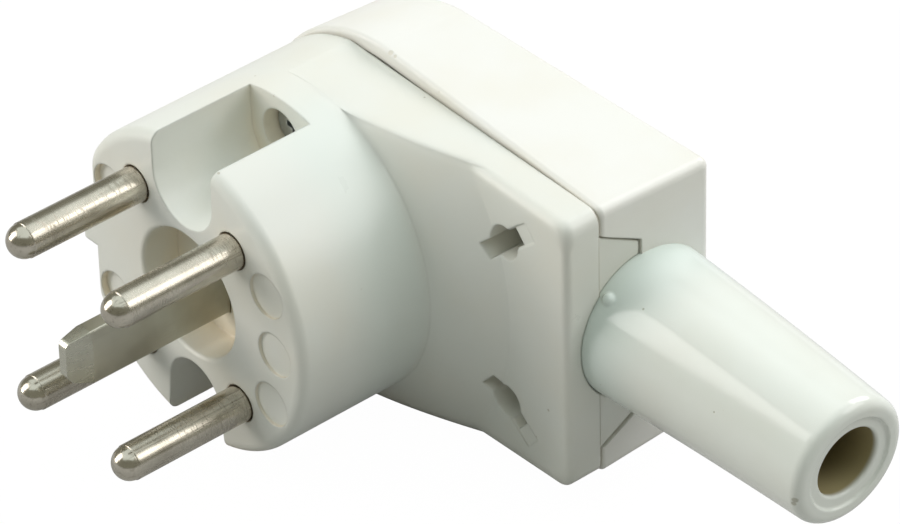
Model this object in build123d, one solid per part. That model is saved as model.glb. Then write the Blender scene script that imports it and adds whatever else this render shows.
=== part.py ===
from build123d import *
import os
from math import cos, radians, sin

# A five-pole appliance plug with its cable leaving at a right angle to the pins.
# The origin is the centre of the contact face. +X runs out along the pins, +Y runs towards the
# cable and +Z is up as the plug lies on its side. All sizes are in millimetres.

# Round pins
pin_diameter = 5.0
pin_length = 20.6
pin_spacing_y = 19.6
pin_spacing_z = 24.6
pin_neck_diameter = 4.6
pin_tip_step = 0.1
pin_hole_clearance = 0.2

# Earth blade
blade_width = 8.3
blade_centre_z = -1.15
blade_thickness = 2.5
blade_length = 20.5
blade_bevel_length = 4.0
blade_tip_thickness = 1.4
blade_upper_taper = 3.8
blade_upper_drop = 0.6
blade_upper_corner = 1.0
blade_lower_taper = 4.2
blade_lower_knee = 0.9
blade_lower_rise = 1.3
blade_lower_drop = 2.7
blade_edge_radius = 0.3
blade_slot_clearance = 0.15

# Nose and shoulder of the front housing
nose_radius = 23.0
nose_length = 21.5
nose_edge_radius = 1.6
shoulder_radius = 33.0
shoulder_drop = 4.85

# Half-round outline that the housing and the cover share
cable_end_y = 44.0
seam_x = -32.0
seam_gap = 0.35
housing_half_at_nose = 22.4
housing_half_at_cable = 21.0
housing_corner_radius = 2.0
front_edge_radius = 1.1
cover_radius = 24.5
cover_half_at_nose = 24.6
cover_half_at_cable = 21.1
cover_corner_radius = 1.3
cover_back_x = -46.6
cover_back_slope = 0.104
cover_draft = 0.05
cover_edge_radius = 1.3
cover_rim_radius = 0.6

# Walls
housing_wall = 2.4
cover_wall = 2.2
end_wall = 2.6
nose_wall = 2.4

# Keyways and recesses in the contact face
upper_keyway_radius = 6.0
upper_keyway_centre_z = 16.8
lower_keyway_radius = 5.2
lower_keyway_centre_y = 0.4
lower_keyway_centre_z = -16.2
lower_keyway_flare = 0.8
keyway_depth = 16.4
centre_recess_radius = 9.3
centre_recess_depth = 5.8
centre_recess_rounding = 0.6
key_flat_y = -19.1
key_ridge_half = 2.8
key_flat_length = 18.0
mark_radius = 3.2
mark_depth = 0.4
far_mark_depth = 0.9
far_mark_y = 15.6
mark_y = 16.4
mark_z = 8.7
middle_mark_y = 17.6

# Screws that hold the cover: two behind the keyways, two in pockets beside the cable
keyway_screw_z = 17.4
keyway_screw_bore = 3.6
keyway_screw_seat = 2.2
keyway_screw_length = 22.0
keyway_screw_head_radius = 3.2
pocket_screw_y = 32.3
pocket_screw_z = 12.8
pocket_radius = 2.5
pocket_slot_length = 7.6
pocket_slot_width = 2.5
pocket_slot_angle = 41.0
pocket_floor_x = -33.6
pocket_mark_reach = 6.4
pocket_mark_width = 2.9
pocket_mark_depth = 0.15
pocket_screw_length = 10.5
pocket_screw_head_radius = 2.15
screw_boss_radius = 4.4
boss_joint_x = -35.8
cover_screw_radius = 1.6
cover_screw_head_height = 2.0
screw_clearance = 0.15
screw_slot_width = 0.8
screw_slot_depth = 0.9
cross_recess_reach = 1.5
cross_recess_depth = 1.1

# Contacts inside the nose
collar_radius = 4.5
collar_thickness = 2.0
terminal_radius = 4.1
terminal_length = 8.5
terminal_wire_radius = 1.7
terminal_wire_inset = 4.2
terminal_screw_radius = 1.9
terminal_screw_length = 3.4
terminal_screw_head_radius = 3.0
terminal_screw_head_height = 1.8
terminal_clearance = 0.15
earth_head_width = 8.6
earth_head_height = 11.8
earth_collar_margin = 1.2

# Insulating plate that keeps the contacts in the nose
retainer_thickness = 2.2
retainer_clearance = 0.3
retainer_screw_y = 14.2
retainer_screw_length = 9.0
retainer_screw_radius = 1.4
retainer_screw_head_radius = 2.6
retainer_screw_head_height = 1.7

# Cord clamp
cable_axis_x = -39.9
clamp_y = 23.6
clamp_width = 6.8
clamp_bore_radius = 4.9
clamp_strap_thickness = 1.1
clamp_foot_thickness = 2.2
clamp_screw_z = 8.9
clamp_foot_reach = 11.6
clamp_gap = 0.3
clamp_boss_radius = 3.3
clamp_boss_rise = 1.3
clamp_screw_radius = 1.5
clamp_screw_length = 9.0
clamp_screw_head_radius = 2.5
clamp_screw_head_height = 1.8

# Cord sleeve
sleeve_tip_y = 81.9
sleeve_tip_radius = 9.1
sleeve_base_radius = 10.95
sleeve_tip_edge = 1.4
sleeve_base_edge = 0.4
sleeve_standoff = 0.15
sleeve_bore_radius = 5.1
sleeve_mouth_radius = 6.7
sleeve_mouth_depth = 0.35
sleeve_neck_radius = 6.9
sleeve_neck_clearance = 0.2
sleeve_collar_radius = 8.2
sleeve_collar_thickness = 2.4
sleeve_recess_radius = 11.15
sleeve_recess_depth = 0.8
sleeve_bead_radius = 0.95
sleeve_bead_angle = 46.5
sleeve_bead_inset = 1.0

# Tongue of the housing that closes the cover's end wall around the sleeve
tongue_reach = 6.9
tongue_root_half = 17.0
tongue_tip_half = 13.1
tongue_clearance = 0.3
tongue_setback = 0.3

# Places that follow from the sizes above
cover_centre_y = cover_radius - nose_radius
pin_radius = pin_diameter / 2
pin_tip_radius = pin_radius - pin_tip_step
nose_root_x = -nose_length
block_face_x = nose_root_x - shoulder_drop
block_inside_x = block_face_x - housing_wall
collar_seat_x = nose_root_x + collar_thickness
terminal_back_x = nose_root_x - terminal_length
chamber_radius = nose_radius - nose_wall
keyway_end_x = -keyway_depth
keyway_head_x = keyway_end_x - keyway_screw_seat - cover_screw_head_height
cover_rim_x = seam_x - seam_gap
wall_inside_y = cable_end_y - end_wall
clamp_split_x = cable_axis_x + clamp_boss_rise
pin_places = {
    "line_pin_1": (-pin_spacing_y / 2, pin_spacing_z / 2),
    "line_pin_2": (pin_spacing_y / 2, pin_spacing_z / 2),
    "line_pin_3": (-pin_spacing_y / 2, -pin_spacing_z / 2),
    "neutral_pin": (pin_spacing_y / 2, -pin_spacing_z / 2),
}


def prism(x_from, x_to, outline):
    """Extrude a YZ outline between two places along the pin axis."""
    return extrude(Plane.YZ.offset(x_from) * outline, x_to - x_from, dir=(1, 0, 0))


def rod(x_from, x_to, radius, y=0.0, z=0.0):
    """A round bar along the pin axis."""
    return prism(x_from, x_to, Pos(y, z) * Circle(radius))


def block(x_from, x_to, y_from, y_to, z_from, z_to):
    """A straight-sided bar between three pairs of places."""
    size = Box(x_to - x_from, y_to - y_from, z_to - z_from)
    return Pos((x_from + x_to) / 2, (y_from + y_to) / 2, (z_from + z_to) / 2) * size


def half_round(radius, centre_y, half_at_nose, half_at_cable, end_y, corner_radius):
    """A half-round end whose two flats close slightly towards the cable end."""
    slope = (half_at_nose - half_at_cable) / end_y
    far_y = centre_y - radius - 1
    length = end_y - centre_y
    bulk = Pos(centre_y, 0) * Circle(radius) + Pos(centre_y + length / 2, 0) * Rectangle(length, 2 * radius)
    far_half = half_at_nose - slope * far_y
    end_half = half_at_nose - slope * end_y
    wedge = Polygon((far_y, -far_half), (end_y, -end_half), (end_y, end_half), (far_y, far_half), align=None)
    outline = bulk & wedge
    corners = outline.vertices().sort_by(Axis.X)[-2:]
    return fillet(corners, corner_radius)


def housing_outline(inset=0.0):
    """Outline of the front housing's block, inset for its inner wall."""
    return half_round(
        nose_radius - inset,
        0.0,
        housing_half_at_nose - inset,
        housing_half_at_cable - inset,
        cable_end_y - (end_wall if inset else 0.0),
        housing_corner_radius,
    )


def cover_outline(inset=0.0, narrowing=0.0):
    """Outline of the rear cover at its rim, inset for its inner wall and narrowed by its draft."""
    return half_round(
        cover_radius - inset - narrowing,
        cover_centre_y,
        cover_half_at_nose - inset - narrowing,
        cover_half_at_cable - inset - narrowing,
        cable_end_y - (end_wall if inset else 0.0),
        cover_corner_radius,
    )


def cover_block(x_from, inset=0.0):
    """The cover's outline drawn back from its rim, narrowing by its draft but straight at the cable end."""
    narrowing = cover_draft * (cover_rim_x - x_from)
    rim = Plane.YZ.offset(cover_rim_x) * cover_outline(inset)
    back = Plane.YZ.offset(x_from) * cover_outline(inset, narrowing)
    return loft([rim, back], ruled=True)


def half_space_behind(back_x):
    """Everything behind the cover's slanted back, which leans away towards the cable end."""
    reach = 60.0
    near_y = -40.0
    far_y = 60.0
    points = [
        (back_x - cover_back_slope * near_y, near_y),
        (back_x - cover_back_slope * far_y, far_y),
        (back_x - reach, far_y),
        (back_x - reach, near_y),
    ]
    return extrude(Plane.XY.offset(-reach) * Polygon(*points, align=None), 2 * reach, dir=(0, 0, 1))


def upper_keyway():
    """The wide rounded slot that the socket's upper key enters."""
    rise = nose_radius
    slot = Pos(0, upper_keyway_centre_z) * Circle(upper_keyway_radius)
    slot += Pos(0, upper_keyway_centre_z + rise / 2) * Rectangle(2 * upper_keyway_radius, rise)
    return prism(keyway_end_x, 1, slot)


def lower_keyway():
    """The narrower slot below, which flares a little towards the rim."""
    y = lower_keyway_centre_y
    z = lower_keyway_centre_z
    foot_z = -nose_radius - 1
    wide = lower_keyway_radius + lower_keyway_flare
    slot = Pos(y, z) * Circle(lower_keyway_radius)
    slot += Polygon(
        (y - lower_keyway_radius, z),
        (y + lower_keyway_radius, z),
        (y + wide, foot_z),
        (y - wide, foot_z),
        align=None,
    )
    return prism(keyway_end_x, 1, slot)


def pocket(side):
    """A slotted round pocket with a shallow witness step past the end of its slot."""
    turn = Pos(pocket_screw_y, side * pocket_screw_z) * Rot(0, 0, side * pocket_slot_angle)
    hole = Pos(pocket_screw_y, side * pocket_screw_z) * Circle(pocket_radius)
    slot = turn * Rectangle(pocket_slot_length, pocket_slot_width)
    step = turn * Pos(pocket_mark_reach / 2, 0) * Rectangle(pocket_mark_reach, pocket_mark_width)
    deep = prism(pocket_floor_x, nose_root_x, hole + slot)
    shallow = prism(block_face_x - pocket_mark_depth, block_face_x + 1, step)
    return deep + shallow


def centre_recess():
    """The round recess around the earth blade, with a rounded rim."""
    rounding = centre_recess_rounding
    bend = rounding * (1 - cos(radians(45)))
    radius = centre_recess_radius
    profile = Polyline((-rounding, radius), (-centre_recess_depth, radius), (-centre_recess_depth, 0), (1, 0))
    profile += Polyline((1, 0), (1, radius + rounding), (0, radius + rounding))
    profile += ThreePointArc((0, radius + rounding), (-bend, radius + bend), (-rounding, radius))
    return revolve(make_face(profile), Axis.X, 360)


def sleeve_channel(radius):
    """A round passage on the cable axis through the end wall."""
    circle = Plane.XZ.offset(-wall_inside_y + 3) * Pos(cable_axis_x, 0) * Circle(radius)
    return extrude(circle, end_wall + 6, dir=(0, 1, 0))


def tongue_outline(margin=0.0):
    """The tongue in the end face, as a trapezoid from the seam back towards the cable axis."""
    tip_x = seam_x - tongue_reach - margin
    root_x = seam_x + 1
    return Polygon(
        (root_x, -tongue_root_half - margin),
        (seam_x, -tongue_root_half - margin),
        (tip_x, -tongue_tip_half - margin),
        (tip_x, tongue_tip_half + margin),
        (seam_x, tongue_root_half + margin),
        (root_x, tongue_root_half + margin),
        align=None,
    )


def tongue_plate(margin=0.0, y_from=None, y_to=None):
    """The tongue's outline carried through the end wall along the cable."""
    start = wall_inside_y if y_from is None else y_from
    stop = cable_end_y - tongue_setback if y_to is None else y_to
    return extrude(Plane.XZ.offset(-start) * tongue_outline(margin), stop - start, dir=(0, 1, 0))


def build_front_housing():
    outline = housing_outline()
    inside = housing_outline(housing_wall)
    nose = rod(nose_root_x, 0, nose_radius)
    nose = fillet(nose.edges().sort_by(Axis.X)[-1], nose_edge_radius)
    shoulder = Plane.YZ.offset(block_face_x) * Cone(
        shoulder_radius, nose_radius, shoulder_drop, align=(Align.CENTER, Align.CENTER, Align.MIN)
    )
    shoulder &= prism(block_face_x, nose_root_x, outline)
    body = prism(seam_x, block_face_x, outline) + shoulder
    front_edges = [
        edge
        for edge in body.edges()
        if abs(edge.center().X - block_face_x) < 0.05
        and edge.center().Y > shoulder_radius - 2
        and (abs(edge.center().Z) > pocket_screw_z or edge.center().Y > cable_end_y - 0.1)
    ]
    body = fillet(front_edges, front_edge_radius)
    body += nose

    # Wiring chamber behind the block's front wall, and round behind the nose
    chamber = prism(seam_x, block_inside_x, inside)
    chamber += rod(seam_x, nose_root_x, chamber_radius) & prism(seam_x, nose_root_x, inside)
    body -= chamber

    # Bosses for the cover screws, and the cord clamp's saddle
    for side in (1, -1):
        boss = rod(seam_x, nose_root_x, screw_boss_radius, 0, side * keyway_screw_z)
        body += boss & prism(seam_x, nose_root_x, outline)
        body += rod(boss_joint_x, block_inside_x, screw_boss_radius, pocket_screw_y, side * pocket_screw_z)
        body += rod(clamp_split_x, block_inside_x, clamp_boss_radius, clamp_y, side * clamp_screw_z)
    saddle = block(
        clamp_split_x,
        block_inside_x,
        clamp_y - clamp_width / 2,
        clamp_y + clamp_width / 2,
        -clamp_screw_z,
        clamp_screw_z,
    )
    body += saddle
    body -= Pos(cable_axis_x, clamp_y, 0) * Rot(90, 0, 0) * Cylinder(clamp_bore_radius, 3 * clamp_width)
    body += tongue_plate()
    body -= sleeve_channel(sleeve_neck_radius + sleeve_neck_clearance)
    body -= Pos(cable_axis_x, cable_end_y, 0) * Rot(90, 0, 0) * Cylinder(sleeve_recess_radius, 2 * sleeve_recess_depth)

    # Keyways, recesses and plain marks in the contact face
    body -= upper_keyway()
    body -= lower_keyway()
    body -= centre_recess()
    for side in (1, -1):
        flat_from = min(side * key_ridge_half, side * nose_radius)
        flat_to = max(side * key_ridge_half, side * nose_radius)
        body -= block(-key_flat_length, 1, -nose_radius - 1, key_flat_y, flat_from, flat_to)
        body -= rod(-mark_depth, 1, mark_radius, mark_y, side * mark_z)
        body -= rod(-far_mark_depth, 1, mark_radius, -far_mark_y, side * mark_z)
    body -= rod(-mark_depth, 1, mark_radius, middle_mark_y, 0)

    # Passages for the contacts, each with a seat for its collar
    for y, z in pin_places.values():
        body -= rod(collar_seat_x, 1, pin_radius + pin_hole_clearance, y, z)
        body -= rod(nose_root_x, collar_seat_x, collar_radius + terminal_clearance, y, z)
    body -= earth_bar(collar_seat_x, 1, blade_width, blade_thickness, blade_slot_clearance)
    body -= earth_bar(
        nose_root_x,
        collar_seat_x,
        earth_head_height + earth_collar_margin,
        earth_head_width + earth_collar_margin,
        terminal_clearance,
    )
    for side in (1, -1):
        thread = retainer_screw_length - retainer_thickness + 0.5
        body -= rod(nose_root_x, nose_root_x + thread, retainer_screw_radius + screw_clearance, side * retainer_screw_y)

    # Cover screw passages
    for side in (1, -1):
        z = side * keyway_screw_z
        body -= rod(keyway_head_x, keyway_end_x, keyway_screw_bore, 0, z)
        body -= rod(seam_x - 1, keyway_head_x, cover_screw_radius + screw_clearance, 0, z)
        body -= pocket(side)
        shank = cover_screw_radius + screw_clearance
        body -= rod(boss_joint_x - 1, pocket_floor_x, shank, pocket_screw_y, side * pocket_screw_z)
        thread_end = clamp_split_x + clamp_screw_length - clamp_foot_thickness - clamp_gap + 0.5
        body -= rod(clamp_split_x, thread_end, clamp_screw_radius + screw_clearance, clamp_y, side * clamp_screw_z)
    return body


def build_rear_cover():
    deepest = cover_back_x - cover_back_slope * cable_end_y - 2
    shell = cover_block(deepest)
    shell -= half_space_behind(cover_back_x)
    back = shell.faces().sort_by(Axis.X)[0]
    shell = fillet(back.edges(), cover_edge_radius)
    rim = shell.faces().sort_by(Axis.X)[-1]
    shell = fillet(rim.edges(), cover_rim_radius)
    cavity = cover_block(deepest, cover_wall)
    cavity -= half_space_behind(cover_back_x + cover_wall)
    shell -= cavity
    # Screw bosses reach from the back wall to the housing's bosses
    core = cover_block(deepest, cover_wall / 2)
    core -= half_space_behind(cover_back_x + cover_wall / 2)
    for side in (1, -1):
        keyway_boss = rod(deepest, seam_x, screw_boss_radius, 0, side * keyway_screw_z)
        pocket_boss = rod(deepest, boss_joint_x, screw_boss_radius, pocket_screw_y, side * pocket_screw_z)
        keyway_boss -= half_space_behind(cover_back_x + cover_wall / 2)
        shell += keyway_boss
        shell += pocket_boss & core
        shank = cover_screw_radius + screw_clearance
        keyway_tip = keyway_head_x - keyway_screw_length - 0.5
        pocket_tip = pocket_floor_x - pocket_screw_length - 0.5
        shell -= rod(keyway_tip, seam_x, shank, 0, side * keyway_screw_z)
        shell -= rod(pocket_tip, boss_joint_x, shank, pocket_screw_y, side * pocket_screw_z)
    shell -= tongue_plate(tongue_clearance, wall_inside_y - 1, cable_end_y + 1)
    shell -= sleeve_channel(sleeve_neck_radius + sleeve_neck_clearance)
    return shell


def build_cord_sleeve():
    base_y = cable_end_y + sleeve_standoff
    collar_y = wall_inside_y - sleeve_neck_clearance
    profile = Polyline(
        (sleeve_bore_radius, collar_y - sleeve_collar_thickness),
        (sleeve_collar_radius, collar_y - sleeve_collar_thickness),
        (sleeve_collar_radius, collar_y),
        (sleeve_neck_radius, collar_y),
        (sleeve_neck_radius, base_y),
        (sleeve_base_radius, base_y),
        (sleeve_tip_radius, sleeve_tip_y),
        (sleeve_mouth_radius, sleeve_tip_y),
        (sleeve_mouth_radius, sleeve_tip_y - sleeve_mouth_depth),
        (sleeve_bore_radius, sleeve_tip_y - sleeve_mouth_depth),
        close=True,
    )
    face = make_face(profile)
    outer = face.vertices().sort_by(Axis.Y)
    tip_corner = [v for v in outer if abs(v.Y - sleeve_tip_y) < 0.01 and abs(v.X - sleeve_tip_radius) < 0.01]
    base_corner = [v for v in outer if abs(v.Y - base_y) < 0.01 and abs(v.X - sleeve_base_radius) < 0.01]
    face = fillet(tip_corner, sleeve_tip_edge)
    face = fillet([v for v in face.vertices() if abs(v.X - sleeve_base_radius) < 0.01], sleeve_base_edge)
    sleeve = Pos(cable_axis_x, 0, 0) * revolve(face, Axis.Y, 360)
    angle = radians(sleeve_bead_angle)
    reach = sleeve_base_radius - 0.3 * sleeve_bead_radius
    bead_x = cable_axis_x + reach * cos(angle)
    bead_z = reach * sin(angle)
    return sleeve + Pos(bead_x, base_y + sleeve_bead_inset, bead_z) * Sphere(sleeve_bead_radius)


def screw_slot(x_back, head_radius):
    """The straight driver slot across a screw's head."""
    return block(
        x_back,
        x_back + screw_slot_depth,
        -head_radius,
        head_radius,
        -screw_slot_width / 2,
        screw_slot_width / 2,
    )


def cross_recess(head_front_x):
    """The crossed driver recess in a cover screw's head."""
    arm = block(
        head_front_x - cross_recess_depth,
        head_front_x + 1,
        -cross_recess_reach,
        cross_recess_reach,
        -screw_slot_width / 2,
        screw_slot_width / 2,
    )
    return arm + Rot(90, 0, 0) * arm


def screw_facing_front(head_front_x, y, z, length, head_radius):
    """A cover screw whose head faces the contact side."""
    head = rod(head_front_x - cover_screw_head_height, head_front_x, head_radius)
    shank = rod(head_front_x - cover_screw_head_height - length, head_front_x, cover_screw_radius)
    return Pos(0, y, z) * (head + shank - cross_recess(head_front_x))


def screw_facing_back(seat_x, y, z, length, radius, head_radius, head_height):
    """A screw driven from the cover side, seated with its head behind seat_x."""
    head = rod(seat_x - head_height, seat_x, head_radius)
    shank = rod(seat_x, seat_x + length, radius)
    slot = screw_slot(seat_x - head_height, head_radius)
    return Pos(0, y, z) * (head + shank - slot)


def build_line_pin(y, z):
    """A turned pin with a domed tip, a seating collar and a terminal with a wire hole."""
    tip_centre_x = pin_length - pin_tip_radius
    pin = rod(0, tip_centre_x, pin_radius)
    pin += Pos(tip_centre_x, 0, 0) * Sphere(pin_tip_radius)
    pin += rod(nose_root_x, 0, pin_neck_diameter / 2)
    pin += rod(nose_root_x, collar_seat_x, collar_radius)
    pin += rod(terminal_back_x, nose_root_x, terminal_radius)
    wire_x = terminal_back_x + terminal_wire_inset
    pin -= Pos(wire_x, 0, 0) * Rot(90, 0, 0) * Cylinder(terminal_wire_radius, 3 * terminal_radius)
    pin -= rod(terminal_back_x, wire_x, terminal_screw_radius + screw_clearance)
    return Pos(0, y, z) * pin


def earth_bar(x_from, x_to, width, thickness, margin=0.0):
    """A straight bar on the earth contact's axis."""
    half_thickness = thickness / 2 + margin
    z_from = blade_centre_z - width / 2 - margin
    z_to = blade_centre_z + width / 2 + margin
    return block(x_from, x_to, -half_thickness, half_thickness, z_from, z_to)


def blade_side_outline():
    """Broad side of the blade's free end: blunt above and swept back below."""
    half = blade_width / 2
    tip = blade_length
    outline = Polygon(
        (nose_root_x, -half),
        (tip - blade_lower_taper, -half),
        (tip - blade_lower_knee, -half + blade_lower_rise),
        (tip, -half + blade_lower_drop),
        (tip, half - blade_upper_drop),
        (tip - blade_upper_taper, half),
        (nose_root_x, half),
        align=None,
    )
    corner = [v for v in outline.vertices() if v.X > tip - 0.01 and v.Y > 0]
    return fillet(corner, blade_upper_corner)


def blade_edge_outline():
    """Narrow side of the blade's free end, bevelled on both broad faces."""
    half = blade_thickness / 2
    tip_half = blade_tip_thickness / 2
    bevel_x = blade_length - blade_bevel_length
    return Polygon(
        (nose_root_x, -half),
        (bevel_x, -half),
        (blade_length, -tip_half),
        (blade_length, tip_half),
        (bevel_x, half),
        (nose_root_x, half),
        align=None,
    )


def build_earth_blade():
    """The flat earth contact, tapered both ways at its tip, with its own terminal block."""
    thick = 2 * blade_thickness
    wide = 2 * blade_width
    broad = Plane(origin=(0, thick / 2, 0), x_dir=(1, 0, 0), z_dir=(0, -1, 0)) * blade_side_outline()
    blade = extrude(broad, thick, dir=(0, -1, 0))
    blade &= extrude(Plane.XY.offset(-wide / 2) * blade_edge_outline(), wide, dir=(0, 0, 1))
    section = RectangleRounded(blade_thickness, blade_width, blade_edge_radius)
    blade = Pos(0, 0, blade_centre_z) * (blade & prism(nose_root_x, blade_length + 1, section))
    collar_height = earth_head_height + earth_collar_margin
    collar_width = earth_head_width + earth_collar_margin
    blade += earth_bar(nose_root_x, collar_seat_x, collar_height, collar_width)
    blade += earth_bar(terminal_back_x, nose_root_x, earth_head_height, earth_head_width)
    wire_x = terminal_back_x + terminal_wire_inset
    wire_hole = Rot(90, 0, 0) * Cylinder(terminal_wire_radius, 3 * earth_head_width)
    blade -= Pos(wire_x, 0, blade_centre_z) * wire_hole
    blade -= rod(terminal_back_x, wire_x, terminal_screw_radius + screw_clearance, 0, blade_centre_z)
    return blade


def build_contact_retainer():
    """The insulating plate that is screwed on behind the contacts' collars."""
    back_x = nose_root_x - retainer_thickness
    inside = housing_outline(housing_wall + retainer_clearance)
    plate = rod(back_x, nose_root_x, chamber_radius - retainer_clearance) & prism(back_x, nose_root_x, inside)
    for side in (1, -1):
        plate -= rod(back_x, nose_root_x, screw_boss_radius + retainer_clearance, 0, side * keyway_screw_z)
        plate -= rod(back_x, nose_root_x, retainer_screw_radius + screw_clearance, side * retainer_screw_y)
    for y, z in pin_places.values():
        plate -= rod(back_x, nose_root_x, terminal_radius + terminal_clearance, y, z)
    plate -= earth_bar(back_x, nose_root_x, earth_head_height, earth_head_width, terminal_clearance)
    # The neck of plate that would be left outside each boss is open to the rim
    for side in (1, -1):
        plate -= block(
            back_x,
            nose_root_x,
            -screw_boss_radius - retainer_clearance,
            screw_boss_radius + retainer_clearance,
            min(side * keyway_screw_z, side * nose_radius),
            max(side * keyway_screw_z, side * nose_radius),
        )
    return plate


def build_cord_clamp():
    """An arched strap over the cable with a flat foot on each side."""
    foot_x = clamp_split_x - clamp_gap
    back_x = foot_x - clamp_foot_thickness
    y_from = clamp_y - clamp_width / 2
    y_to = clamp_y + clamp_width / 2
    strap = block(back_x, foot_x, y_from, y_to, -clamp_foot_reach, clamp_foot_reach)
    arch = Rot(90, 0, 0) * Cylinder(clamp_bore_radius + clamp_strap_thickness, clamp_width)
    hollow = Rot(90, 0, 0) * Cylinder(clamp_bore_radius, 2 * clamp_width)
    strap += Pos(cable_axis_x, clamp_y, 0) * arch
    strap -= block(foot_x, seam_x, y_from - 1, y_to + 1, -clamp_foot_reach, clamp_foot_reach)
    strap -= Pos(cable_axis_x, clamp_y, 0) * hollow
    for side in (1, -1):
        strap -= rod(back_x, foot_x, clamp_screw_radius + screw_clearance, clamp_y, side * clamp_screw_z)
    return strap


def build_parts():
    parts = {
        "front_housing": build_front_housing(),
        "rear_cover": build_rear_cover(),
        "cord_sleeve": build_cord_sleeve(),
        "earth_blade": build_earth_blade(),
        "contact_retainer": build_contact_retainer(),
        "cord_clamp": build_cord_clamp(),
    }
    for name, (y, z) in pin_places.items():
        parts[name] = build_line_pin(y, z)
    terminals = {name + "_screw": place for name, place in pin_places.items()}
    terminals["earth_screw"] = (0, blade_centre_z)
    for name, (y, z) in terminals.items():
        parts[name] = screw_facing_back(
            terminal_back_x,
            y,
            z,
            terminal_screw_length,
            terminal_screw_radius,
            terminal_screw_head_radius,
            terminal_screw_head_height,
        )
    for number, side in enumerate((1, -1), start=1):
        parts[f"retainer_screw_{number}"] = screw_facing_back(
            nose_root_x - retainer_thickness,
            side * retainer_screw_y,
            0,
            retainer_screw_length,
            retainer_screw_radius,
            retainer_screw_head_radius,
            retainer_screw_head_height,
        )
        parts[f"clamp_screw_{number}"] = screw_facing_back(
            clamp_split_x - clamp_gap - clamp_foot_thickness,
            clamp_y,
            side * clamp_screw_z,
            clamp_screw_length,
            clamp_screw_radius,
            clamp_screw_head_radius,
            clamp_screw_head_height,
        )
        parts[f"keyway_screw_{number}"] = screw_facing_front(
            keyway_head_x + cover_screw_head_height,
            0,
            side * keyway_screw_z,
            keyway_screw_length,
            keyway_screw_head_radius,
        )
        parts[f"pocket_screw_{number}"] = screw_facing_front(
            pocket_floor_x + cover_screw_head_height,
            pocket_screw_y,
            side * pocket_screw_z,
            pocket_screw_length,
            pocket_screw_head_radius,
        )
    return parts


os.makedirs("parts", exist_ok=True)
for node, shape in build_parts().items():
    export_step(shape, f"parts/{node}.step")
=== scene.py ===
import bpy
import math
import numpy as np
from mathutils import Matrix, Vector


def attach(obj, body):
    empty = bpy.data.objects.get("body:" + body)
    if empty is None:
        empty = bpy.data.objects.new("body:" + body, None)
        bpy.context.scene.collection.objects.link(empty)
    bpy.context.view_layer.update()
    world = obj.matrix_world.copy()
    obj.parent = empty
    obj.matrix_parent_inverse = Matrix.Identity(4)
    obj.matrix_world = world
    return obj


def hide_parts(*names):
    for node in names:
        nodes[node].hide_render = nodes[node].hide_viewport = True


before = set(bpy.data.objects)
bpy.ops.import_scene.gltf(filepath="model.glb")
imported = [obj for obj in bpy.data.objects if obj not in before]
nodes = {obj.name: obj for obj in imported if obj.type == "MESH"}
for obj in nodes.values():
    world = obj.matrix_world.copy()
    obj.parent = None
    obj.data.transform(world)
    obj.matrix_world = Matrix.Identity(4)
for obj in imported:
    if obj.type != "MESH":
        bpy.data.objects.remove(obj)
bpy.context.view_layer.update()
print("stage: frame loaded")


# a number that changes over a surface, with the operators that the finishes use
class Value:
    def __init__(self, shader, socket):
        self.shader = shader
        self.socket = socket

    def maths(self, operation, other=None, swap=False):
        first, second = (other, self) if swap else (self, other)
        values = [first] if second is None else [first, second]
        return self.shader.add("ShaderNodeMath", {"operation": operation}, values)

    def __add__(self, other):
        return self.maths("ADD", other)

    def __radd__(self, other):
        return self.maths("ADD", other)

    def __sub__(self, other):
        return self.maths("SUBTRACT", other)

    def __rsub__(self, other):
        return self.maths("SUBTRACT", other, swap=True)

    def __mul__(self, other):
        return self.maths("MULTIPLY", other)

    def __rmul__(self, other):
        return self.maths("MULTIPLY", other)

    def bigger(self, other):
        return self.maths("MAXIMUM", other)

    # 0 below low, 1 above high, a smooth rise between
    def rise(self, low, high):
        inputs = {"Value": self, "From Min": low, "From Max": high}
        return self.shader.add("ShaderNodeMapRange", {"interpolation_type": "SMOOTHSTEP"}, inputs)

    # 1 within width of a centre, fading to 0 over soft
    def band(self, centre, width, soft):
        return 1 - (self - centre).maths("ABSOLUTE").rise(width, width + soft)


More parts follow.
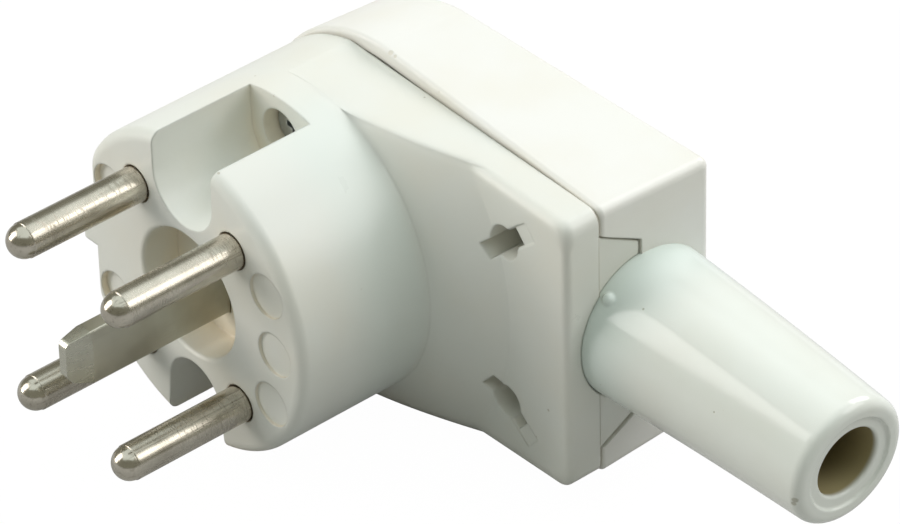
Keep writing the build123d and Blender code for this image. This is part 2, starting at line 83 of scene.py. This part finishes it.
class Shader:
    def __init__(self, name):
        self.material = bpy.data.materials.new(name)
        self.material.use_nodes = True
        self.tree = self.material.node_tree
        self.tree.nodes.clear()
        self.output = self.tree.nodes.new("ShaderNodeOutputMaterial")
        self.place = self.add("ShaderNodeTexCoord", {}, {}, "Object")
        split = self.tree.nodes.new("ShaderNodeSeparateXYZ")
        self.tree.links.new(self.place.socket, split.inputs[0])
        self.x, self.y, self.z = (Value(self, split.outputs[axis]) for axis in range(3))

    # a node of any type: its settings first, then the values or links of its sockets
    def add(self, kind, settings, inputs, output=0):
        node = self.tree.nodes.new(kind)
        for key, setting in settings.items():
            setattr(node, key, setting)
        pairs = inputs.items() if isinstance(inputs, dict) else enumerate(inputs)
        for key, entry in pairs:
            if isinstance(entry, Value):
                self.tree.links.new(entry.socket, node.inputs[key])
            else:
                node.inputs[key].default_value = entry
        return Value(self, node.outputs[output])

    # the place on the piece counted in cells of the given size in metres; a stretch of 0.02
    # along an axis makes the cells 50 times as long there
    def counted(self, size, stretch=(1, 1, 1)):
        scale = tuple(part / size for part in stretch)
        return self.add("ShaderNodeMapping", {}, {"Vector": self.place, "Scale": scale})

    def noise(self, size, detail=2.0, roughness=0.5, stretch=(1, 1, 1)):
        inputs = {"Vector": self.counted(size, stretch), "Scale": 1.0}
        inputs.update({"Detail": detail, "Roughness": roughness, "Distortion": 0.0})
        return self.add("ShaderNodeTexNoise", {}, inputs)

    # distance from the nearest of many scattered points
    def cells(self, size):
        inputs = {"Vector": self.counted(size), "Scale": 1.0, "Randomness": 1.0}
        return self.add("ShaderNodeTexVoronoi", {}, inputs)

    # the Mix node's sockets are numbered: a colour pair is 6 and 7, a vector pair 4 and 5
    def mix(self, factor, first, second, kind="RGBA"):
        start, end = (6, 2) if kind == "RGBA" else (4, 1)
        settings = {"data_type": kind, "clamp_factor": True}
        return self.add("ShaderNodeMix", settings, {0: factor, start: first, start + 1: second}, end)

    # 1 within a radius of a place on the surface, fading to 0 over soft
    def spot(self, centre, radius, soft):
        gap = self.add("ShaderNodeVectorMath", {"operation": "DISTANCE"}, [self.place, centre], 1)
        return 1 - gap.rise(radius, radius + soft)

    # how far a point lies in a hollow: 0 in the open, 1 where little of the room is seen
    def hollow(self, reach):
        seen = self.add("ShaderNodeAmbientOcclusion", {"samples": 8}, {"Distance": reach}, 1)
        return 1 - seen

    # surface relief over edges that are rounded by the given radius; wide is a mask and the
    # bigger radius that holds where the mask is 1
    def bump(self, height, distance, strength, edge=0.00025, wide=None):
        soft = self.add("ShaderNodeBevel", {"samples": 6}, {"Radius": edge})
        if wide is not None:
            mask, radius = wide
            broad = self.add("ShaderNodeBevel", {"samples": 16}, {"Radius": radius})
            soft = self.mix(mask, soft, broad, "VECTOR")
        inputs = {"Height": height, "Distance": distance, "Strength": strength, "Normal": soft}
        return self.add("ShaderNodeBump", {}, inputs)

    def finish(self, **sockets):
        inputs = {key.replace("_", " "): entry for key, entry in sockets.items()}
        surface = self.add("ShaderNodeBsdfPrincipled", {}, inputs)
        self.tree.links.new(surface.socket, self.output.inputs["Surface"])
        return self.material


# what the three moulded pieces share; a pair is where a mask starts to rise and where it is full
plasticGrain = {
    "cloudSize": 0.016,
    "cloudRise": (0.35, 0.70),
    "peelSize": 0.0011,
    "peelDepth": 0.00002,
    "peelStrength": 0.35,
    "wipeSize": 0.006,
    "wipeStretch": (1, 0.35, 1),
    "wipeGloss": 0.12,
    "dustSize": 0.0042,
    "dustRise": (0.030, 0.055),
    "dustTint": 0.40,
    "chanceSize": 0.009,
    "chanceRise": (0.62, 0.68),
    "hollowReach": 0.008,
    "hollowRise": (0.25, 0.80),
    "facingRise": (-0.0240, -0.0140),  # along x: the painted light in hollows is stronger near the contact face
    "facingGain": 0.70,
    "facingBase": 0.18,
    "speckSoft": 0.8,
    "speckTint": 0.6,
    "speckDepth": 5.0,
}

mouldedCase = {
    "colour": (0.772, 0.792, 0.757, 1.0),
    "shade": (0.772, 0.775, 0.720, 1.0),
    "grimeAndShadow": (0.42, 0.38, 0.30, 1.0),
    "hollowLight": (0.90, 0.79, 0.60, 1.0),
    "shadeTint": (0.735, 0.805, 0.775, 1.0),
    "roughness": 0.30,
    "edge": 0.00045,
    "foot": {  # painted cool shade on the shaded side of the nose, near its foot
        "backRise": (-0.0235, -0.0190),
        "frontRise": (-0.0150, -0.0060),
        "sideRise": (-0.004, 0.010),
        "base": 0.35,
        "cloudGain": 0.6,
    },
    "seam": {  # a fine groove down the end face, with painted shadow along it
        "x": -0.03195,
        "half": 0.00004,
        "soft": 0.00010,
        "endRise": (0.0425, 0.0430),
        "tint": 0.55,
        "depth": 4.0,
    },
    "shoulder": {  # the wide soft edge between the shoulder and the block's flanks
        "radius": 0.0026,
        "backRise": (-0.0285, -0.0275),
        "frontRise": (-0.0190, -0.0175),
        "flankRise": (0.0168, 0.0185),
        "sideRise": (-0.002, 0.002),
    },
    "specks": [
        ((-0.0012, 0.0063, 0.0220), 0.00014),
        ((-0.02635, 0.0403, -0.0096), 0.00014),
        ((-0.0312, 0.0113, 0.0220), 0.00010),
    ],
}

mouldedCover = {
    "colour": (0.825, 0.830, 0.810, 1.0),
    "shade": (0.810, 0.805, 0.760, 1.0),
    "grimeAndShadow": (0.62, 0.59, 0.50, 1.0),
    "hollowLight": (0.88, 0.80, 0.64, 1.0),
    "roughness": 0.33,
    "edge": 0.00035,
    "specks": [((-0.0325, 0.0031, 0.0242), 0.00028), ((-0.0325, 0.0040, 0.0241), 0.00018)],
}

flexSleeve = {
    "colour": (0.790, 0.825, 0.790, 1.0),
    "shade": (0.765, 0.790, 0.745, 1.0),
    "grimeAndShadow": (0.30, 0.28, 0.20, 1.0),
    "hollowLight": (0.80, 0.78, 0.62, 1.0),
    "shadeTint": (0.700, 0.800, 0.770, 1.0),
    "roughness": 0.12,
    "edge": 0.00030,
    "root": {"rise": (0.0435, 0.0560), "tint": 0.9},  # painted cool shade where the sleeve meets the housing
    "bore": {
        # painted shade inside the bore, browner and darker deeper in
        "inner": (0.42, 0.36, 0.20, 1.0),
        "innerRise": (0.02, 0.10),
        "deep": (0.17, 0.135, 0.062, 1.0),
        "deepRise": (0.05, 1.0),
    },
    "specks": [
        ((-0.0337, 0.0504, 0.0086), 0.00012),
        ((-0.0306, 0.0668, 0.0033), 0.00012),
        ((-0.0310, 0.0680, 0.0041), 0.00010),
        ((-0.0312, 0.0811, -0.0024), 0.00032),
        ((-0.0312, 0.0809, -0.0031), 0.00026),
    ],
}


# moulded plastic: slow clouds of tint, warm light painted into hollows, a fine orange peel
# in the gloss, and a few dark specks and chips at given places
def mouldedPlastic(name, look, grain=plasticGrain):
    s = Shader(name)
    clouds = s.noise(grain["cloudSize"], detail=3.0)
    peel = s.noise(grain["peelSize"], detail=2.0)
    wipe = s.noise(grain["wipeSize"], detail=4.0, roughness=0.6, stretch=grain["wipeStretch"])
    dust = 1 - s.cells(grain["dustSize"]).rise(*grain["dustRise"])
    chance = s.noise(grain["chanceSize"], detail=0.0).rise(*grain["chanceRise"])
    colour = s.mix(clouds.rise(*grain["cloudRise"]), look["colour"], look["shade"])
    if "foot" in look:
        # painted shade: a cool tint on the shaded side of the nose round its foot
        foot = look["foot"]
        ahead = 1 - s.x.rise(*foot["frontRise"])
        shadeMask = s.x.rise(*foot["backRise"]) * ahead * s.y.rise(*foot["sideRise"])
        colour = s.mix(shadeMask * (foot["base"] + clouds * foot["cloudGain"]), colour, look["shadeTint"])
    if "root" in look:
        # painted shade: a cool tint on the sleeve next to the housing
        root = 1 - s.y.rise(*look["root"]["rise"])
        colour = s.mix(root * look["root"]["tint"], colour, look["shadeTint"])
    # painted light: hollows are tinted warm and light, as if light gathered there, more so towards the
    # contact face
    facing = s.x.rise(*grain["facingRise"]) * grain["facingGain"] + grain["facingBase"]
    hollow = s.hollow(grain["hollowReach"]).rise(*grain["hollowRise"])
    colour = s.mix(hollow * facing, colour, look["hollowLight"])
    colour = s.mix(dust * chance * grain["dustTint"], colour, look["grimeAndShadow"])
    height = peel
    for centre, radius in look["specks"]:
        speck = s.spot(centre, radius, radius * grain["speckSoft"])
        colour = s.mix(speck * grain["speckTint"], colour, look["grimeAndShadow"])
        height = height - speck * grain["speckDepth"]
    if "seam" in look:
        # a fine groove where the end face steps down to the tongue, darkened with painted shadow
        seam = look["seam"]
        line = s.x.band(seam["x"], seam["half"], seam["soft"]) * s.y.rise(*seam["endRise"])
        colour = s.mix(line * seam["tint"], colour, look["grimeAndShadow"])
        height = height - line * seam["depth"]
    wide = None
    if "shoulder" in look:
        # the shoulder and the front run into the block's flanks over a wide soft edge
        shoulder = look["shoulder"]
        front = s.x.rise(*shoulder["backRise"]) * (1 - s.x.rise(*shoulder["frontRise"]))
        flank = s.z.maths("ABSOLUTE").rise(*shoulder["flankRise"])
        wide = (front * flank * s.y.rise(*shoulder["sideRise"]), shoulder["radius"])
    if "bore" in look:
        # painted shade inside the sleeve: browner and darker the further it lies behind the mouth
        bore = look["bore"]
        depth = s.add("ShaderNodeAttribute", {"attribute_name": "depth"}, {}, 2)
        colour = s.mix(depth.rise(*bore["innerRise"]), colour, bore["inner"])
        colour = s.mix(depth.rise(*bore["deepRise"]), colour, bore["deep"])
    roughness = look["roughness"] + (wipe - 0.5) * grain["wipeGloss"]
    surface = s.bump(height, grain["peelDepth"], grain["peelStrength"], look["edge"], wide)
    return s.finish(Base_Color=colour, Roughness=roughness, Normal=surface, IOR=1.5)


nickel = {
    "colour": (0.61, 0.57, 0.495, 1.0),
    "dark": (0.28, 0.25, 0.20, 1.0),
    "roughness": 0.26,
    "domeRise": (0.0176, 0.0186),  # along x: the barrel ends and the polished dome begins
    "domeGloss": 0.07,
    "ringSize": 0.00008,
    "ringStretch": (1, 0.02, 0.02),
    "ringRelief": 0.8,
    "tickSize": 0.00022,
    "tickStretch": (1, 0.13, 0.13),
    "tickRise": (0.50, 0.66),
    "tickRelief": 0.4,
    "patchSize": 0.0035,
    "patchStretch": (0.5, 1, 1),
    "patchRise": (0.42, 0.62),
    "markTint": 0.40,
    "markGloss": 0.18,
    "scratchSize": 0.00045,
    "scratchStretch": (0.02, 1, 1),
    "scratchRise": (0.52, 0.70),
    "scratchTint": 0.45,
    "scratchGlossRise": (0.5, 0.8),
    "scratchGloss": 0.10,
    "scratchRelief": 0.3,
    "wearSize": 0.004,
    "wearRise": (0.35, 0.75),
    "wearTint": 0.35,
    "reliefDepth": 0.00001,
    "reliefStrength": 0.60,
}


# turned and plated bar: fine rings round the pin, short marks across it in patches, long
# insertion scratches and cloudy wear
def turnedNickel(name, look):
    s = Shader(name)
    rings = s.noise(look["ringSize"], roughness=0.6, stretch=look["ringStretch"])
    ticks = s.noise(look["tickSize"], roughness=0.6, stretch=look["tickStretch"])
    patches = s.noise(look["patchSize"], stretch=look["patchStretch"]).rise(*look["patchRise"])
    scratches = s.noise(look["scratchSize"], 3.0, 0.65, look["scratchStretch"])
    wear = s.noise(look["wearSize"], 4.0, 0.6).rise(*look["wearRise"])
    barrel = 1 - s.x.rise(*look["domeRise"])
    marks = ticks.rise(*look["tickRise"]) * patches * barrel
    scratched = scratches.rise(*look["scratchRise"])
    tarnish = wear * look["wearTint"] + scratched * look["scratchTint"]
    colour = s.mix(tarnish + marks * look["markTint"], look["colour"], look["dark"])
    polished = look["roughness"] - look["domeGloss"]
    roughness = polished + barrel * look["domeGloss"] + marks * look["markGloss"]
    roughness = roughness + scratches.rise(*look["scratchGlossRise"]) * look["scratchGloss"]
    across = rings * look["ringRelief"] + ticks * patches * look["tickRelief"]
    relief = across * barrel + scratches * look["scratchRelief"]
    surface = s.bump(relief, look["reliefDepth"], look["reliefStrength"])
    return s.finish(Base_Color=colour, Metallic=1.0, Roughness=roughness, Normal=surface)


nickelBar = {
    "colour": (0.61, 0.60, 0.52, 1.0),
    "dark": (0.40, 0.38, 0.31, 1.0),
    "roughness": 0.34,
    "edge": 0.00015,
    "grainSize": 0.0006,
    "grainStretch": (0.05, 1, 1),
    "grainRise": (0.55, 0.8),
    "grainTint": 0.15,
    "grainGloss": 0.12,
    "wearSize": 0.005,
    "wearRise": (0.40, 0.80),
    "wearTint": 0.45,
    "bevelRise": (0.0163, 0.0167),  # along x: the ground bevels at the tip are glossier
    "bevelGloss": 0.06,
    "reliefDepth": 0.00001,
    "reliefStrength": 0.25,
}


# drawn flat bar: a faint lengthwise grain and soft clouds, ground bare at the bevel
def drawnNickel(name, look):
    s = Shader(name)
    grain = s.noise(look["grainSize"], 3.0, 0.6, look["grainStretch"])
    wear = s.noise(look["wearSize"]).rise(*look["wearRise"])
    ground = s.x.rise(*look["bevelRise"])
    tarnish = wear * look["wearTint"] + grain.rise(*look["grainRise"]) * look["grainTint"]
    colour = s.mix(tarnish, look["colour"], look["dark"])
    roughness = look["roughness"] + (grain - 0.5) * look["grainGloss"] - ground * look["bevelGloss"]
    surface = s.bump(grain, look["reliefDepth"], look["reliefStrength"], look["edge"])
    return s.finish(Base_Color=colour, Metallic=1.0, Roughness=roughness, Normal=surface)


zinc = {
    "bright": (0.55, 0.58, 0.60, 1.0),
    "dull": (0.42, 0.43, 0.42, 1.0),
    "roughness": 0.28,
    "spangleSize": 0.0006,
    "spangleGloss": 0.15,
    "tintSize": 0.002,
    "reliefDepth": 0.00004,
    "reliefStrength": 0.4,
}


# zinc plating: a cloudy tint, and small spangles that differ in gloss
def zincPlate(name, look):
    s = Shader(name)
    spangle = s.cells(look["spangleSize"])
    tint = s.noise(look["tintSize"], detail=3.0)
    colour = s.mix(tint, look["bright"], look["dull"])
    roughness = look["roughness"] + spangle * look["spangleGloss"]
    surface = s.bump(tint, look["reliefDepth"], look["reliefStrength"])
    return s.finish(Base_Color=colour, Metallic=1.0, Roughness=roughness, Normal=surface)


board = {
    "dark": (0.16, 0.09, 0.05, 1.0),
    "light": (0.26, 0.16, 0.09, 1.0),
    "roughness": 0.55,
    "grainSize": 0.0008,
    "grainGloss": 0.2,
    "reliefDepth": 0.00005,
    "reliefStrength": 0.5,
}


# pressed insulating board: one rough grain gives the tint, the gloss and the relief
def pressedBoard(name, look):
    s = Shader(name)
    grain = s.noise(look["grainSize"], detail=4.0, roughness=0.7)
    colour = s.mix(grain, look["dark"], look["light"])
    roughness = look["roughness"] + (grain - 0.5) * look["grainGloss"]
    surface = s.bump(grain, look["reliefDepth"], look["reliefStrength"])
    return s.finish(Base_Color=colour, Roughness=roughness, Normal=surface)


finishes = {
    "front_housing": mouldedPlastic("mouldedCase", mouldedCase),
    "rear_cover": mouldedPlastic("mouldedCover", mouldedCover),
    "cord_sleeve": mouldedPlastic("flexSleeve", flexSleeve),
    "earth_blade": drawnNickel("drawnNickel", nickelBar),
}
pinFinish = turnedNickel("turnedNickel", nickel)
screwFinish = zincPlate("zincPlate", zinc)
boardFinish = pressedBoard("pressedBoard", board)

for name, node in nodes.items():
    if "screw" in name:
        finish = screwFinish
    elif "_pin" in name:
        finish = pinFinish
    else:
        finish = finishes.get(name, boardFinish)
    for slot in node.material_slots:
        slot.material = finish
print("stage: finishes assigned")

sleeveSpec = {
    "axis": -0.0399,
    "corners": [
        # radius, y and rounding of the turned profile, from the collar's inner end round to the bore
        (0.00510, 0.03880, 0.0),
        (0.00820, 0.03880, 0.0002),
        (0.00820, 0.04120, 0.0002),
        (0.00690, 0.04120, 0.0),
        (0.00690, 0.04335, 0.0),
        (0.01105, 0.04335, 0.0002),
        (0.00913, 0.08190, 0.0015),
        (0.00680, 0.08190, 0.0002),
        (0.00660, 0.08145, 0.0003),
        (0.00500, 0.08145, 0.0004),
    ],
    "arcPoints": 9,
    "rowGap": 0.0005,
    "edgeRow": 0.00012,  # a row this close to each arc keeps the straight runs straight
    "sides": 220,
    "droop": 0.00105,
    "droopFrom": 0.0440,
    "tip": 0.0819,
    "beadAngle": 46.5,
    "beadY": 0.0452,
    "beadWidth": 0.00078,
    "beadHeight": 0.00060,
    "beadRows": 25,
    "beadReach": 0.0013,
    "beadSpan": 0.0014,  # the plain rows this near to the bead give way to the close ones
    "beadSides": 41,
    "beadSweep": 0.14,
    "outerFrom": 0.0095,  # radius above which the profile is the outer cone at the bead
    "boreDepth": 0.010,
    "boreLip": 0.0004,
}


# a closed profile whose corners are arcs: each corner is cut back on both sides by its rounding
# over the tangent of half its angle, and the arc runs between the two cuts; straight runs get
# rows of their own
def roundedProfile(spec):
    points = np.array([corner[:2] for corner in spec["corners"]])
    radii = np.array([corner[2] for corner in spec["corners"]])
    before = np.roll(points, 1, axis=0) - points
    after = np.roll(points, -1, axis=0) - points
    before /= np.linalg.norm(before, axis=1)[:, None]
    after /= np.linalg.norm(after, axis=1)[:, None]
    half = np.arccos(np.clip((before * after).sum(axis=1), -1, 1)) / 2
    cut = radii / np.tan(half)
    pieces = []
    count = len(points)
    for k in range(count):
        start = points[k] + before[k] * cut[k]
        end = points[k] + after[k] * cut[k]
        if radii[k] > 0:
            inward = before[k] + after[k]
            middle = points[k] + inward / np.linalg.norm(inward) * radii[k] / np.sin(half[k])
            first, last = start - middle, end - middle
            sweep = math.acos(np.clip(first @ last / radii[k] ** 2, -1, 1))
            share = np.linspace(0, 1, spec["arcPoints"])[:, None]
            turned = np.sin((1 - share) * sweep) * first + np.sin(share * sweep) * last
            pieces.append(middle + turned / math.sin(sweep))
        else:
            pieces.append(start[None])
        following = (k + 1) % count
        goal = points[following] + before[following] * cut[following]
        run = np.linalg.norm(goal - end)
        steps = max(2, int(run / spec["rowGap"]))
        near = spec["edgeRow"] / run
        share = np.unique(np.concatenate([np.linspace(0, 1, steps + 1)[1:-1], [near, 1 - near]]))
        share = share[(share > 0) & (share < 1)][:, None]
        pieces.append(end + (goal - end) * share)
    return np.concatenate(pieces)


# the rows of the outer cone near the bead, set closer along the same straight line
def rowsAtBead(profile, spec):
    centre, reach = spec["beadY"], spec["beadReach"]
    away = np.abs(profile[:, 1] - centre)
    span = (away < spec["beadSpan"]) & (profile[:, 0] > spec["outerFrom"])
    first, last = np.flatnonzero(span)[[0, -1]]
    slope = (profile[last, 0] - profile[first, 0]) / (profile[last, 1] - profile[first, 1])
    rows = np.linspace(centre - reach, centre + reach, spec["beadRows"])
    fine = np.stack([profile[first, 0] + (rows - profile[first, 1]) * slope, rows], axis=1)
    return np.concatenate([profile[:first], fine, profile[last + 1:]])


# the sleeve: x = axis + r cos a, z = r sin a at each y of the profile. Past the housing every ring
# sinks by droop * share squared and leans with the slope of that curve. The moulding bead is
# added to r as height * exp(-(distance / width) ** 4)
def makeSleeve(spec):
    profile = rowsAtBead(roundedProfile(spec), spec)
    bead = math.radians(spec["beadAngle"])
    even = np.linspace(0, 2 * math.pi, spec["sides"], endpoint=False)
    close = np.linspace(bead - spec["beadSweep"], bead + spec["beadSweep"], spec["beadSides"])
    angles = np.unique(np.concatenate([even, close]))
    r, a = np.meshgrid(profile[:, 0], angles, indexing="ij")
    y = np.broadcast_to(profile[:, 1][:, None], r.shape)
    distance = np.hypot(y - spec["beadY"], r * (a - bead))
    swell = np.exp(-(distance / spec["beadWidth"]) ** 4) * (r > spec["outerFrom"])
    r = r + spec["beadHeight"] * swell
    length = spec["tip"] - spec["droopFrom"]
    share = np.clip((y - spec["droopFrom"]) / length, 0, None)
    lean = 2 * spec["droop"] * share / length
    x = spec["axis"] + r * np.cos(a)
    z = r * np.sin(a) - spec["droop"] * share ** 2
    boreRadius, mouth = spec["corners"][-1][:2]
    behind = (mouth - y) / spec["boreDepth"]
    depth = np.clip(np.where(r < boreRadius + spec["boreLip"], behind, 0), 0, 1)
    y = y + lean * r * np.sin(a)
    grid = np.stack([x, y, z], axis=2)
    tall, around = r.shape
    index = np.arange(tall * around).reshape(tall, around)
    below, across = np.roll(index, -1, axis=0), np.roll(index, -1, axis=1)
    faces = np.stack([index, below, np.roll(below, -1, axis=1), across], axis=2).reshape(-1, 4)
    mesh = bpy.data.meshes.new("cordSleeve")
    mesh.vertices.add(tall * around)
    mesh.vertices.foreach_set("co", grid.reshape(-1))
    mesh.loops.add(faces.size)
    mesh.loops.foreach_set("vertex_index", faces.reshape(-1).astype(np.int32))
    mesh.polygons.add(len(faces))
    mesh.polygons.foreach_set("loop_start", np.arange(0, faces.size, 4, dtype=np.int32))
    mesh.polygons.foreach_set("use_smooth", np.ones(len(faces), dtype=bool))
    mesh.update(calc_edges=True)
    mesh.validate()
    behindMouth = mesh.attributes.new("depth", "FLOAT", "POINT")
    behindMouth.data.foreach_set("value", depth.reshape(-1).astype(np.float32))
    sleeve = bpy.data.objects.new("cordSleeve", mesh)
    bpy.context.scene.collection.objects.link(sleeve)
    mesh.materials.append(finishes["cord_sleeve"])
    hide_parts("cord_sleeve")
    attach(sleeve, "root")


makeSleeve(sleeveSpec)
print("stage: sleeve made")

floorSpec = {
    "height": -0.02455,
    "half": 3.0,
    "colour": (0.42, 0.42, 0.42, 1.0),
    "glow": 1.04,
    "cameraShare": 0.95,  # how much of the glow the camera sees, and the reflections
    "glossShare": 0.10,
}


# plain white paper: grey to the light that it sends back, and glowing white to the camera
def makeFloor(spec):
    h = spec["half"]
    corners = [(x, y, spec["height"]) for x, y in ((-h, -h), (h, -h), (h, h), (-h, h))]
    mesh = bpy.data.meshes.new("floor")
    mesh.from_pydata(corners, [], [(0, 1, 2, 3)])
    floor = bpy.data.objects.new("floor", mesh)
    bpy.context.scene.collection.objects.link(floor)
    s = Shader("floorPaper")
    lit = s.add("ShaderNodeBsdfDiffuse", {}, {"Color": spec["colour"]})
    glow = s.add("ShaderNodeEmission", {}, {"Color": (1, 1, 1, 1), "Strength": spec["glow"]})
    camera = s.add("ShaderNodeLightPath", {}, {}, "Is Camera Ray")
    glossy = s.add("ShaderNodeLightPath", {}, {}, "Is Glossy Ray")
    seen = (camera * spec["cameraShare"]).bigger(glossy * spec["glossShare"])
    both = s.add("ShaderNodeMixShader", {}, [seen, lit, glow])
    s.tree.links.new(both.socket, s.output.inputs["Surface"])
    mesh.materials.append(s.material)


makeFloor(floorSpec)

lamps = {
    "overhead": {"at": (0.0, 0.0, 0.90), "size": 1.4, "watts": 4.9, "colour": (0.88, 0.98, 1.0)},
    "behind": {"at": (-0.778, 0.0, 0.545), "size": 0.5, "watts": 5.0, "colour": (1.0, 0.96, 0.98)},
    "right": {"at": (-0.55, 0.55, 0.545), "size": 0.5, "watts": 2.2, "colour": (1.0, 0.99, 0.97)},
    "leftHigh": {"at": (0.55, -0.55, 0.545), "size": 0.5, "watts": 2.9, "colour": (1.0, 0.97, 0.95)},
    "leftLow": {"at": (0.657, -0.657, 0.198), "size": 0.3, "watts": 2.5, "colour": (1.0, 0.94, 0.87)},
}
aimPoint = Vector((-0.02, 0.02, 0.0))


# a square lamp that shines towards the aim point
def makeLamp(name, spec):
    data = bpy.data.lights.new(name, "AREA")
    data.shape = "SQUARE"
    data.size = spec["size"]
    data.energy = spec["watts"]
    data.color = spec["colour"]
    lamp = bpy.data.objects.new(name, data)
    lamp.location = spec["at"]
    lamp.rotation_euler = (Vector(spec["at"]) - aimPoint).to_track_quat("Z", "Y").to_euler()
    bpy.context.scene.collection.objects.link(lamp)


for lampName, lampSpec in lamps.items():
    makeLamp(lampName, lampSpec)

roomSpec = {"colour": (1.0, 1.0, 0.80, 1), "strength": 0.25, "paper": (1, 1, 1, 1), "paperStrength": 1.0}


# the room: one even tone that lights the part, and white paper where the camera looks past it
def makeRoom(spec):
    world = bpy.data.worlds.new("room")
    bpy.context.scene.world = world
    world.use_nodes = True
    tree = world.node_tree
    tree.nodes.clear()
    room = tree.nodes.new("ShaderNodeBackground")
    room.inputs["Color"].default_value = spec["colour"]
    room.inputs["Strength"].default_value = spec["strength"]
    paper = tree.nodes.new("ShaderNodeBackground")
    paper.inputs["Color"].default_value = spec["paper"]
    paper.inputs["Strength"].default_value = spec["paperStrength"]
    path = tree.nodes.new("ShaderNodeLightPath")
    both = tree.nodes.new("ShaderNodeMixShader")
    tree.links.new(path.outputs["Is Camera Ray"], both.inputs[0])
    tree.links.new(room.outputs[0], both.inputs[1])
    tree.links.new(paper.outputs[0], both.inputs[2])
    out = tree.nodes.new("ShaderNodeOutputWorld")
    tree.links.new(both.outputs[0], out.inputs["Surface"])


makeRoom(roomSpec)
bpy.context.scene.view_settings.view_transform = "Standard"

cameraSpec = {
    "at": (0.3860, 0.5152, 0.4872),
    "turn": (53.0618, 1.1714, 139.2571),
    "lens": 249.9,
    "sensor": 36.0,
}


def makeCamera(spec):
    data = bpy.data.cameras.new("camera")
    data.lens = spec["lens"]
    data.sensor_width = spec["sensor"]
    camera = bpy.data.objects.new("camera", data)
    camera.location = spec["at"]
    camera.rotation_euler = tuple(math.radians(angle) for angle in spec["turn"])
    bpy.context.scene.collection.objects.link(camera)
    bpy.context.scene.camera = camera


makeCamera(cameraSpec)
print("stage: light and camera set")
